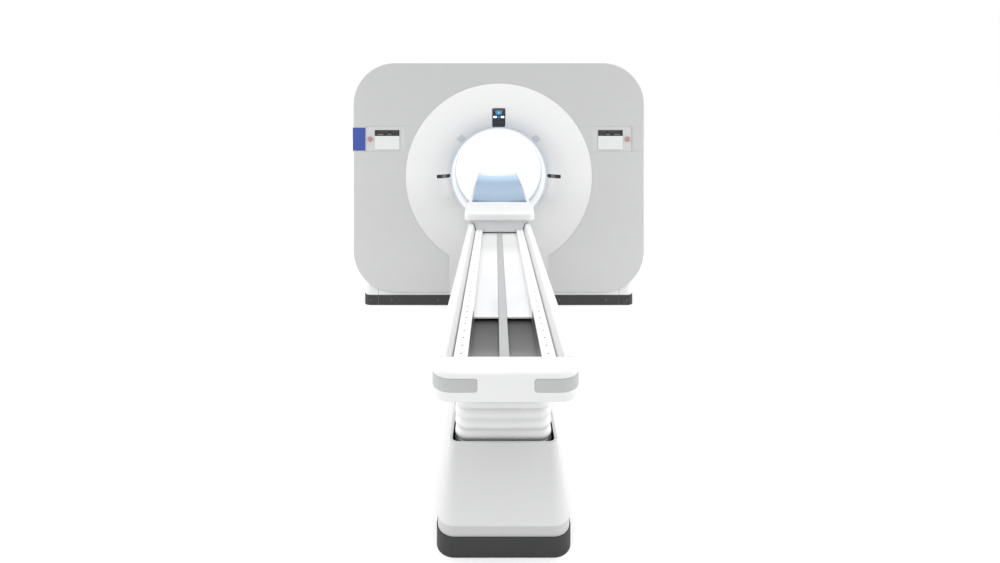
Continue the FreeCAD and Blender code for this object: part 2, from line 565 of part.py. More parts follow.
def tray_side():
    """Right side rail of the tray's skin as (x, z, radius) corners, from its outer foot round inwards."""
    x_out, t, z_hem = TRAY_HALF_W, TRAY_WALL, GUIDE_TOP - GUIDE_T
    outside = [(x_out, TRAY_BOTTOM, TRAY_HEM_R), (x_out, TRAY_TOP, TRAY_EDGE_R),
               (RAIL_TOP_IN, TRAY_TOP, RAIL_INNER_R), (RAIL_COVER_IN, z_hem, 0)]
    inside = [(RAIL_COVER_IN + t, z_hem, 0), (RAIL_TOP_IN + t, TRAY_TOP - t, RAIL_INNER_R - t),
              (x_out - t, TRAY_TOP - t, TRAY_EDGE_R - t), (x_out - t, TRAY_BOTTOM + t, TRAY_HEM_R - t)]
    return outside + inside


def make_tray():
    y0, y1 = TRAY_FOOT_Y + CAP_L + FIT, TRAY_HEAD_Y
    right = tray_side()
    left = [(-x, z, r) for x, z, r in reversed(right)]
    keep("tray_cover", rounded_section(right + left, y0, y1))

    cap_y1 = TRAY_FOOT_Y + CAP_L
    w = TRAY_HALF_W
    cap = rounded_block(-w, w, TRAY_FOOT_Y, cap_y1 + CAP_R, CAP_R, TRAY_BOTTOM, TRAY_TOP)
    cap = cap.cut(box(-w - 1, w + 1, cap_y1, cap_y1 + CAP_R + 1, TRAY_BOTTOM - 1, TRAY_TOP + 1))
    rim = [e for e in cap.Edges if all(abs(v.Z - TRAY_TOP) < 0.01 for v in e.Vertexes)
           and not all(abs(v.Y - cap_y1) < 0.01 for v in e.Vertexes)]
    cap = cap.makeFillet(TRAY_EDGE_R, rim)
    above = TRAY_TOP + 1
    cap = cap.common(rounded_section([(w, TRAY_BOTTOM, TRAY_HEM_R), (w, above, 0), (-w, above, 0),
                                      (-w, TRAY_BOTTOM, TRAY_HEM_R)], TRAY_FOOT_Y - 1, cap_y1 + 1))
    pads = pad_blocks(0)
    keep("grip_pads", pads.common(cap))
    keep("foot_cap", cap.cut(pad_blocks(FIT)))

    base_z = TRAY_BOTTOM + TRAY_WALL
    web_z = base_z + CHASSIS_BASE_T
    ledge = GUIDE_IN - 6
    head = TRAY_HEAD_Y - 4
    chassis = box(-GUIDE_OUT, GUIDE_OUT, y0, head, base_z, web_z)
    for side in (-1, 1):
        a, b, c = side * ledge, side * GUIDE_OUT, side * (GUIDE_IN + FIT)
        chassis = chassis.fuse(box(min(a, b), max(a, b), y0, head, web_z, FLOOR_TOP - FLOOR_T))
        chassis = chassis.fuse(box(min(b, c), max(b, c), y0, head, web_z, GUIDE_TOP - GUIDE_T))
        inner = side * (ROLLER_HALF_L + FIT)
        ear_x = sorted((inner, inner + side * EAR_T))
        ear = box(ear_x[0], ear_x[1], ROLLER_Y - 12, ROLLER_Y + 12, web_z, roller_z() + 10)
        chassis = chassis.fuse(ear)
    chassis = chassis.fuse(box(-STRIP_HALF_W + 4, STRIP_HALF_W - 4, y0, head, web_z, FLOOR_TOP - FLOOR_T))
    axle = Part.makeCylinder(ROLLER_SHAFT_R + RUN, 400, V(-200, ROLLER_Y, roller_z()), V(1, 0, 0))
    keep("couch_chassis", chassis.cut(axle).removeSplitter())

    end = ROLLER_Y - ROLLER_R - 14
    edge = GUIDE_IN - FIT
    panel = box(STRIP_HALF_W + 1, edge, FLOOR_FOOT_Y, end, FLOOR_TOP - FLOOR_T, FLOOR_TOP)
    panel = panel.fuse(box(edge - FLANGE_WALL, edge, FLOOR_FOOT_Y, end, FLOOR_TOP, GUIDE_TOP - 1))
    panel = panel.removeSplitter()
    keep("floor_panels", Part.makeCompound([panel, mirrored(panel)]))
    keep("centre_strip", box(-STRIP_HALF_W, STRIP_HALF_W, y0, end, FLOOR_TOP - FLOOR_T, STRIP_TOP))

    guide = box(GUIDE_IN, GUIDE_OUT, y0 + 6, end, GUIDE_TOP - GUIDE_T, GUIDE_TOP)
    count = int((end - y0 - 60) // GUIDE_PITCH)
    for i in range(count):
        guide = guide.cut(post(GUIDE_HOLE_R, GUIDE_TOP - GUIDE_T - 1, GUIDE_TOP + 1,
                               (GUIDE_IN + GUIDE_OUT) / 2, y0 + 50 + i * GUIDE_PITCH))
    keep("guide_rails", Part.makeCompound([guide, mirrored(guide)]))

    half_shaft = ROLLER_HALF_L + FIT + EAR_T + 3
    along_x, z = V(1, 0, 0), roller_z()
    roller = Part.makeCylinder(ROLLER_R, 2 * ROLLER_HALF_L, V(-ROLLER_HALF_L, ROLLER_Y, z), along_x)
    shaft = Part.makeCylinder(ROLLER_SHAFT_R, 2 * half_shaft, V(-half_shaft, ROLLER_Y, z), along_x)
    keep("support_roller", roller.fuse(shaft))


def roller_z():
    return CRADLE_BOTTOM - FIT - ROLLER_R


def pad_blocks(grow):
    """Blocks that cut the grip pads out of the foot cap's skin, wrapping round its corners."""
    z0, z1 = PAD_Z0 - grow, PAD_Z0 + PAD_H + grow
    deep, w = PAD_DEPTH + grow, TRAY_HALF_W
    skin = rounded_block(-w - 1, w + 1, TRAY_FOOT_Y - 1, TRAY_FOOT_Y + 3 * CAP_R, CAP_R + 1, z0, z1)
    core = rounded_block(-w + deep, w - deep, TRAY_FOOT_Y + deep, TRAY_FOOT_Y + 4 * CAP_R, CAP_R - deep,
                         z0 - 1, z1 + 1)
    right = box(PAD_IN_X - grow, w + 2, TRAY_FOOT_Y - 2, TRAY_FOOT_Y + PAD_BACK_Y + grow, z0, z1)
    inner = [e for e in right.Edges if all(abs(v.X - PAD_IN_X + grow) < 0.01 for v in e.Vertexes)
             and abs(e.Vertexes[0].Y - e.Vertexes[1].Y) > 1]
    block = skin.cut(core).common(right.makeFillet(PAD_END_R + grow, inner))
    return Part.makeCompound([block, mirrored(block)])


# ---------------------------------------------------------------- couch cradle
def cradle_section(y):
    """Closed wire of the cradle's section: flat underside, round flanks, dished top."""
    rise = CRADLE_EDGE_Z - CRADLE_BOTTOM
    half_w = CRADLE_HALF_W
    run = half_w - CRADLE_FLAT
    r = (run ** 2 + rise ** 2) / (2 * rise)
    half_angle = math.asin(run / r) / 2
    mid = (CRADLE_FLAT + r * math.sin(half_angle), CRADLE_BOTTOM + r - r * math.cos(half_angle))
    edge_top = CRADLE_EDGE_Z + CRADLE_LIP

    def p(x, z):
        return V(x, y, z)

    return Part.Wire([
        Part.LineSegment(p(-CRADLE_FLAT, CRADLE_BOTTOM), p(CRADLE_FLAT, CRADLE_BOTTOM)).toShape(),
        Part.Arc(p(CRADLE_FLAT, CRADLE_BOTTOM), p(*mid), p(half_w, CRADLE_EDGE_Z)).toShape(),
        Part.LineSegment(p(half_w, CRADLE_EDGE_Z), p(half_w, edge_top)).toShape(),
        Part.Arc(p(half_w, edge_top), p(0, edge_top - CRADLE_DISH), p(-half_w, edge_top)).toShape(),
        Part.LineSegment(p(-half_w, edge_top), p(-half_w, CRADLE_EDGE_Z)).toShape(),
        Part.Arc(p(-half_w, CRADLE_EDGE_Z), p(-mid[0], mid[1]), p(-CRADLE_FLAT, CRADLE_BOTTOM)).toShape()])


def dish_z(x):
    """Height of the cradle's dished top at x."""
    radius = (CRADLE_HALF_W ** 2 + CRADLE_DISH ** 2) / (2 * CRADLE_DISH)
    low = CRADLE_EDGE_Z + CRADLE_LIP - CRADLE_DISH
    return low + radius - math.sqrt(radius ** 2 - x ** 2)


def mattress_section(y, half_w):
    """Closed wire of the mattress: both faces follow the cradle's dished top."""

    def p(x, z):
        return V(x, y, z)

    low = [(s * half_w, dish_z(half_w) + FIT) for s in (-1, 1)]
    top = [(s * (half_w - 4), dish_z(half_w - 4) + MATTRESS_T) for s in (-1, 1)]
    return Part.Wire([
        Part.Arc(p(*low[0]), p(0, dish_z(0) + FIT), p(*low[1])).toShape(),
        Part.LineSegment(p(*low[1]), p(*top[1])).toShape(),
        Part.Arc(p(*top[1]), p(0, dish_z(0) + MATTRESS_T), p(*top[0])).toShape(),
        Part.LineSegment(p(*top[0]), p(*low[0])).toShape()])


def make_cradle():
    cradle = Part.Face(cradle_section(END_CAP_Y1)).extrude(V(0, CRADLE_Y1 - END_CAP_Y1, 0))
    spare = 2.0
    w = CRADLE_HALF_W + spare
    head = rounded_block(-w, w, END_CAP_Y1 - 200, CRADLE_Y1 + spare, CRADLE_HEAD_R, CRADLE_BOTTOM - spare,
                         CRADLE_EDGE_Z + CRADLE_LIP + spare)
    cradle = cradle.common(head)
    keep("cradle_shell", cradle)
    keep("mattress", Part.makeLoft([mattress_section(END_CAP_Y1 + FIT, MATTRESS_HALF_W_FOOT),
                                    mattress_section(MATTRESS_Y1, MATTRESS_HALF_W_HEAD)], True, True))

    w, top, back = END_CAP_HALF_W, END_CAP_REAR_TOP, END_CAP_Y1 - FIT
    side = [(END_CAP_Y0, CARRIAGE_TOP), (back, CARRIAGE_TOP), (back, top), (END_CAP_Y1 - 40, top),
            (END_CAP_Y0, END_CAP_FRONT_TOP)]
    cap = Part.Face(Part.makePolygon([V(-w, y, z) for y, z in side + side[:1]])).extrude(V(2 * w, 0, 0))
    plan = rounded_block(-w, w, END_CAP_Y0, END_CAP_Y1 + 80, END_CAP_R, CARRIAGE_TOP - 1, top + 1)
    cap = cap.common(plan)
    crest = [e for e in cap.Edges if min(v.Z for v in e.Vertexes) >= END_CAP_FRONT_TOP - 0.01
             and not all(abs(v.Y - back) < 0.01 for v in e.Vertexes)
             and not (len(e.Vertexes) == 2 and abs(e.Vertexes[0].Y - e.Vertexes[1].Y) < 0.01
                      and abs(e.Vertexes[0].Y - END_CAP_Y1 + 40) < 0.01)]
    cap = cap.makeFillet(END_CAP_EDGE_R, crest)
    hem = [e for e in cap.Edges if all(abs(v.Z - CARRIAGE_TOP) < 0.01 for v in e.Vertexes)
           and not all(abs(v.Y - back) < 0.01 for v in e.Vertexes)]
    keep("cradle_end_cap", cap.makeFillet(END_CAP_HEM_R, hem))

    step_z = TRAY_TOP + 4
    guide_z = GUIDE_TOP + FIT
    gap = CARRIAGE_GAP
    inside = GUIDE_IN - FLANGE_WALL - gap
    half = [(CARRIAGE_HALF_W, CARRIAGE_TOP), (CARRIAGE_HALF_W, step_z), (RAIL_TOP_IN - gap, step_z),
            (RAIL_COVER_IN - gap, guide_z), (inside, guide_z), (inside, STRIP_TOP + 6)]
    other = [(-x, z) for x, z in reversed(half)]
    carriage = extrude_section(half + other, CARRIAGE_Y0, CARRIAGE_Y1)
    wall = 12
    hollow = box(-inside + wall, inside - wall, CARRIAGE_Y0 + wall, CARRIAGE_Y1 - wall,
                 STRIP_TOP, CARRIAGE_TOP - 10)
    saddle = box(-CRADLE_FLAT, CRADLE_FLAT, END_CAP_Y1 + FIT, CARRIAGE_Y1, CARRIAGE_TOP, CRADLE_BOTTOM)
    keep("carriage", carriage.cut(hollow).fuse(saddle).removeSplitter())


# ---------------------------------------------------------------- pedestal and lift
def pedestal_solid(shrink, z0, z_top):
    """Vertical band, then a body that tapers to the top, moved inwards by shrink."""
    w, r = PED_HALF_W - shrink, PED_R - shrink
    band = rounded_block(-w, w, PED_Y0 + shrink, PED_Y1 - shrink, r, z0, PED_BAND_Z1)
    tw, tr = PED_TOP_HALF_W - shrink, PED_TOP_R - shrink
    low = rounded_wire(-w, w, PED_Y0 + shrink, PED_Y1 - shrink, r, PED_BAND_Z1)
    top = rounded_wire(-tw, tw, PED_TOP_Y0 + shrink, PED_TOP_Y1 - shrink, tr, z_top)
    return band.fuse(Part.makeLoft([low, top], True, True))


def bellows_stack(shrink, z0, z1, extra):
    """Zigzag stack of rounded rectangles; crests and valleys alternate every half pitch."""
    count = 2 * int(round((z1 - z0) / BELLOWS_PITCH))
    step = (z1 - z0) / count
    wires = []
    for i in range(count + 1):
        inset = shrink + (BELLOWS_PLEAT if i % 2 == 0 else 0)
        z = z0 + i * step + (-extra if i == 0 else extra if i == count else 0)
        w, y0, y1 = BELLOWS_HALF_W - inset, BELLOWS_Y0 + inset, BELLOWS_Y1 - inset
        wires.append(rounded_wire(-w, w, y0, y1, BELLOWS_R - inset, z))
    return Part.makeLoft(wires, True, True)


def make_pedestal():
    outer = pedestal_solid(0, PED_BAND_Z0, PED_TOP)
    inner = pedestal_solid(PED_WALL, PED_BAND_Z0 - 1, PED_TOP - PED_WALL)
    opening = rounded_block(-PED_TOP_HALF_W + PED_RIM, PED_TOP_HALF_W - PED_RIM, PED_TOP_Y0 + PED_RIM,
                            PED_TOP_Y1 - PED_RIM, PED_TOP_R - PED_RIM, PED_TOP - 50, PED_TOP + 1)
    keep("pedestal_cover", outer.cut(inner).cut(opening))

    p = COUCH_PLINTH_PROUD
    wall = PED_WALL + p
    y0, y1, w = PED_Y0 - p, PED_Y1 + p, PED_HALF_W + p
    plinth = rounded_block(-w, w, y0, y1, PED_R + p, 0, PED_BAND_Z0)
    keep("couch_plinth", plinth.cut(rounded_block(-w + wall, w - wall, y0 + wall, y1 - wall, PED_R + p - wall,
                                                  -1, PED_BAND_Z0 + 1)))

    reach = PED_WALL + FIT
    plate = rounded_block(-PED_HALF_W + reach, PED_HALF_W - reach, PED_Y0 + reach, PED_Y1 - reach,
                          PED_R - reach, 0, BASE_PLATE_T)
    for x in (-COUCH_ANCHOR_X, COUCH_ANCHOR_X):
        for y in (PED_Y0 + COUCH_ANCHOR_INSET, PED_Y1 - COUCH_ANCHOR_INSET):
            plate = plate.cut(post(COUCH_ANCHOR_R, -1, BASE_PLATE_T + 1, x, y))
    keep("couch_base", plate)

    cx, cy = COLUMN_HALF_X, COLUMN_HALF_Y
    column = box(-cx, cx, LIFT_Y - cy, LIFT_Y + cy, BASE_PLATE_T, BELLOWS_FOOT_Z)
    flange = rounded_block(-BELLOWS_HALF_W, BELLOWS_HALF_W, BELLOWS_Y0, BELLOWS_Y1, BELLOWS_R,
                           BELLOWS_FOOT_Z - FLANGE_T, BELLOWS_FOOT_Z)
    column = column.fuse(flange)
    bore_x, bore_y = cx - COLUMN_WALL, cy - COLUMN_WALL
    column = column.cut(box(-bore_x, bore_x, LIFT_Y - bore_y, LIFT_Y + bore_y,
                            BASE_PLATE_T - 1, BELLOWS_FOOT_Z + 1))
    motor_z = BASE_PLATE_T + GEARBOX_H / 2
    motor_y = LIFT_Y - bore_y
    column = column.cut(disc(LIFT_MOTOR_R + FIT, motor_y - 30, motor_y + 5, 0, motor_z))
    keep("lift_column", column.removeSplitter())

    gearbox = box(-bore_x + FIT, bore_x - FIT, LIFT_Y - bore_y + FIT, LIFT_Y + bore_y - FIT, BASE_PLATE_T,
                  BASE_PLATE_T + GEARBOX_H)
    screw_foot = BASE_PLATE_T + 15
    gearbox = gearbox.cut(post(SCREW_SHAFT_R + RUN, screw_foot, BASE_PLATE_T + GEARBOX_H + 1, 0, LIFT_Y))
    motor = disc(LIFT_MOTOR_R, motor_y - LIFT_MOTOR_L, motor_y + 3, 0, motor_z)
    keep("lift_gearmotor", gearbox.fuse(motor))
    keep("lift_screw", post(SCREW_SHAFT_R, screw_foot + FIT, SCREW_TOP, 0, LIFT_Y))

    mx, my = bore_x - FIT, bore_y - FIT
    mast = box(-mx, mx, LIFT_Y - my, LIFT_Y + my, MAST_FOOT_Z, TRAY_BOTTOM)
    mast = mast.cut(box(-mx + MAST_WALL, mx - MAST_WALL, LIFT_Y - my + MAST_WALL, LIFT_Y + my - MAST_WALL,
                        MAST_FOOT_Z + NUT_T, TRAY_BOTTOM - 20))
    mast = mast.cut(post(SCREW_SHAFT_R + RUN, MAST_FOOT_Z - 1, MAST_FOOT_Z + NUT_T + 1, 0, LIFT_Y))
    keep("lift_mast", mast)

    outside = bellows_stack(0, BELLOWS_FOOT_Z, TRAY_BOTTOM, 0)
    inside = bellows_stack(BELLOWS_WALL, BELLOWS_FOOT_Z, TRAY_BOTTOM, 1)
    keep("bellows", outside.cut(inside))

    h, w, t = DUCT_H, DUCT_HALF_W, DUCT_WALL
    y0, y1 = PED_Y1 + COUCH_PLINTH_PROUD + FIT, -BASE_HALF_D - PLINTH_PROUD - FIT
    duct = extrude_section([(-w, 0), (-w + 20, h), (w - 20, h), (w, 0)], y0, y1)
    foot, crown = w - 2 * t, w - 20 - t
    duct = duct.cut(extrude_section([(-foot, -1), (-crown, h - t), (crown, h - t), (foot, -1)],
                                    y0 - 1, y1 + 1))
    keep("link_duct", duct)


def main():
    make_covers()
    make_bezels()
    make_bore()
    make_base()
    make_stator()
    make_rotor()
    make_panels()
    make_tray()
    make_cradle()
    make_pedestal()
    os.makedirs("parts", exist_ok=True)
    for name, shape in sorted(parts.items()):
        if not shape.isValid() or not shape.Solids:
            print("PROBLEM", name, shape.isValid(), len(shape.Solids))
        shape.exportStep("parts/" + name + ".step")
    print(len(parts), "nodes")


main()
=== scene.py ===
"""Looks of a wide-bore CT scanner: finishes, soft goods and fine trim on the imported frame. Metres, +Z up."""
import json
import math

import bmesh
import bpy
import numpy as np
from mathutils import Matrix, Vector
from mathutils.bvhtree import BVHTree


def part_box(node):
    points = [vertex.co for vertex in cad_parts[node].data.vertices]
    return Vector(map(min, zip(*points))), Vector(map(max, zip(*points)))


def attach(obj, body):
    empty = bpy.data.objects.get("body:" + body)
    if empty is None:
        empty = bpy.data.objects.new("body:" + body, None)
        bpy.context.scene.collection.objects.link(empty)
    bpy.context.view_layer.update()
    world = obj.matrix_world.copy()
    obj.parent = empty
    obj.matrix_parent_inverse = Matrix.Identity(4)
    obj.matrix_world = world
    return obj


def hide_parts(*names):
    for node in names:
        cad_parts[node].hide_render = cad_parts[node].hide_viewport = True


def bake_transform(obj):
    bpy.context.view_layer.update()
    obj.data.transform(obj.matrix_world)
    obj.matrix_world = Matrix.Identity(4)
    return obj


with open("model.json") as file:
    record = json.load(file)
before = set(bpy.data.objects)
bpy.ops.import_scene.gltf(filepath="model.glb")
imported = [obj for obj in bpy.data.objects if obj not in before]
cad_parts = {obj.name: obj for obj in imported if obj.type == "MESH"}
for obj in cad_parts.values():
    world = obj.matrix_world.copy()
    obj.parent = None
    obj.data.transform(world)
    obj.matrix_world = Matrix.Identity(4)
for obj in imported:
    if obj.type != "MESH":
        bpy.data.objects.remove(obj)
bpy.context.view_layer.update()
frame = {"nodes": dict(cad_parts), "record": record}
nodes = frame["nodes"]


# ---------------------------------------------------------------- node helpers
class Finish:
    """A node-based material on Object coordinates, built up step by step."""

    def __init__(self, name, base, roughness, metallic=0.0, **sockets):
        self.material = bpy.data.materials.new(name)
        self.material.use_nodes = True
        self.tree = self.material.node_tree
        self.shader = self.tree.nodes["Principled BSDF"]
        self.coordinates = self.tree.nodes.new("ShaderNodeTexCoord").outputs["Object"]
        self.material.diffuse_color = (*base, 1.0)
        self.base = base
        self.shader.inputs["Base Color"].default_value = (*base, 1.0)
        self.shader.inputs["Roughness"].default_value = roughness
        self.shader.inputs["Metallic"].default_value = metallic
        for socket, value in sockets.items():
            self.shader.inputs[socket.replace("_", " ")].default_value = value

    def node(self, kind):
        return self.tree.nodes.new(kind)

    def link(self, a, b):
        self.tree.links.new(a, b)

    def mapped(self, scale):
        """Object coordinates, stretched by a scale along each axis."""
        mapping = self.node("ShaderNodeMapping")
        mapping.inputs["Scale"].default_value = scale
        self.link(self.coordinates, mapping.inputs["Vector"])
        return mapping.outputs["Vector"]

    def noise(self, scale, detail=3.0, stretch=(1, 1, 1)):
        """Soft cloud pattern, 0 to 1."""
        noise = self.node("ShaderNodeTexNoise")
        noise.inputs["Scale"].default_value = scale
        noise.inputs["Detail"].default_value = detail
        self.link(self.mapped(stretch), noise.inputs["Vector"])
        return noise.outputs["Fac"]

    def cells(self, scale):
        """Pebble pattern: distance to the nearest of scattered points."""
        cells = self.node("ShaderNodeTexVoronoi")
        cells.inputs["Scale"].default_value = scale
        self.link(self.coordinates, cells.inputs["Vector"])
        return cells.outputs["Distance"]

    def ramp(self, source, stops):
        """Colour ramp from (position, colour) stops."""
        ramp = self.node("ShaderNodeValToRGB")
        elements = ramp.color_ramp.elements
        while len(elements) < len(stops):
            elements.new(0.5)
        for element, (position, colour) in zip(elements, stops):
            element.position = position
            element.color = (*colour, 1.0)
        self.link(source, ramp.inputs["Fac"])
        return ramp.outputs["Color"]

    def between(self, source, low, high):
        """The source's 0 to 1 spread over low to high."""
        span = self.node("ShaderNodeMapRange")
        span.inputs["To Min"].default_value = low
        span.inputs["To Max"].default_value = high
        self.link(source, span.inputs["Value"])
        return span.outputs["Result"]

    def along(self, axis, low, high):
        """Share of the way from low to high along one axis, 0 to 1."""
        split = self.node("ShaderNodeSeparateXYZ")
        self.link(self.coordinates, split.inputs["Vector"])
        span = self.node("ShaderNodeMapRange")
        span.inputs["From Min"].default_value = low
        span.inputs["From Max"].default_value = high
        self.link(split.outputs[axis], span.inputs["Value"])
        return span.outputs["Result"]

    def tone(self, source, spread):
        """Base colour that drifts by `spread` either way."""
        low = [max(c * (1 - spread), 0) for c in self.base]
        high = [min(c * (1 + spread), 1) for c in self.base]
        self.link(self.ramp(source, [(0.3, low), (0.7, high)]), self.shader.inputs["Base Color"])
        return self

    def gloss(self, source, low, high):
        """Roughness that drifts from low to high."""
        self.link(self.between(source, low, high), self.shader.inputs["Roughness"])
        return self

    def bump(self, source, distance, strength=1.0):
        """Relief of a height in metres, on top of any relief that is there."""
        bump = self.node("ShaderNodeBump")
        bump.inputs["Distance"].default_value = distance
        bump.inputs["Strength"].default_value = strength
        self.link(source, bump.inputs["Height"])
        if self.shader.inputs["Normal"].is_linked:
            self.link(self.shader.inputs["Normal"].links[0].from_socket, bump.inputs["Normal"])
        self.link(bump.outputs["Normal"], self.shader.inputs["Normal"])
        return self


def moulded(name, base, roughness=0.36, grain=0.00004):
    """Moulded plastic: a faint orange peel, slight gloss drift, almost no colour drift."""
    f = Finish(name, base, roughness, Specular_IOR_Level=0.42)
    f.tone(f.noise(2.2), 0.012).gloss(f.noise(7.0), roughness - 0.05, roughness + 0.06)
    return f.bump(f.noise(420.0, 2.0), grain).material


def painted(name, base, roughness=0.42):
    """Powder-coated sheet: fine speckle in the surface, soft large waves in the gloss."""
    f = Finish(name, base, roughness, Specular_IOR_Level=0.4)
    f.tone(f.noise(1.6), 0.015).gloss(f.noise(5.0), roughness - 0.06, roughness + 0.06)
    return f.bump(f.noise(900.0, 2.0), 0.00005).material


def metal(name, base, roughness=0.3, grain=(1, 60, 60)):
    """Ground or drawn metal: fine lines along one axis."""
    f = Finish(name, base, roughness, metallic=1.0)
    lines = f.noise(55.0, 4.0, grain)
    return f.gloss(lines, roughness - 0.08, roughness + 0.12).bump(lines, 0.00004).tone(lines, 0.04).material


def cast(name, base, roughness=0.6, metallic=0.0):
    """Cast or blasted surface with a coarse grain."""
    f = Finish(name, base, roughness, metallic=metallic)
    f.tone(f.noise(14.0, 5.0), 0.08).gloss(f.noise(30.0), roughness - 0.1, roughness + 0.1)
    return f.bump(f.noise(260.0, 4.0), 0.0003).material


def rubbery(name, base, roughness=0.62):
    """Matt rubber with a fine pebble grain."""
    f = Finish(name, base, roughness, Specular_IOR_Level=0.3)
    f.tone(f.noise(9.0), 0.03)
    return f.bump(f.cells(650.0), 0.00012, 0.6).material


def shaded_coating(name, axis, low, high, stops):
    """Powder coating whose grey follows one axis as painted shade and light: grey = stops((place - low) /
    (high - low)).
    """
    f = Finish(name, (stops[-1][1],) * 3, 0.42, Specular_IOR_Level=0.4)
    f.link(f.ramp(f.along(axis, low, high), [(at, (g, g * 1.003, g * 1.008)) for at, g in stops]),
           f.shader.inputs["Base Color"])
    f.gloss(f.noise(5.0), 0.36, 0.48)
    return f.bump(f.noise(900.0, 2.0), 0.00005).material


def shaded_moulding(name, low, high, stops):
    """Moulded plastic, a little greyer towards the floor as painted shade: grey = stops((z - low) / (high -
    low)).
    """
    f = Finish(name, (stops[-1][1],) * 3, 0.36, Specular_IOR_Level=0.42)
    f.link(f.ramp(f.along("Z", low, high), [(at, (g, g * 1.002, g * 1.004)) for at, g in stops]),
           f.shader.inputs["Base Color"])
    f.gloss(f.noise(7.0), 0.31, 0.42)
    return f.bump(f.noise(420.0, 2.0), 0.00004).material


def vinyl(name, low, high, stops):
    """Wipe-clean vinyl with a fine leather grain; its colour, much paler towards the head end, is painted
    light: a painted reflection at the head end, painted shade at the foot end.
    """
    f = Finish(name, stops[-1][1], 0.36, Specular_IOR_Level=0.5)
    f.link(f.ramp(f.along("Y", low, high), stops), f.shader.inputs["Base Color"])
    f.gloss(f.noise(12.0), 0.30, 0.42)
    return f.bump(f.cells(900.0), 0.00010, 0.5).bump(f.noise(38.0), 0.0004, 0.35).material


def glowing(name, base, roughness, strength):
    """Moulding with a faint glow of its own: painted light, with no lamp behind it."""
    f = Finish(name, base, roughness, Emission_Strength=strength)
    f.shader.inputs["Emission Color"].default_value = (0.93, 0.96, 1.0, 1.0)
    f.tone(f.noise(2.2), 0.012).gloss(f.noise(7.0), roughness - 0.05, roughness + 0.06)
    return f.bump(f.noise(420.0, 2.0), 0.00004).material


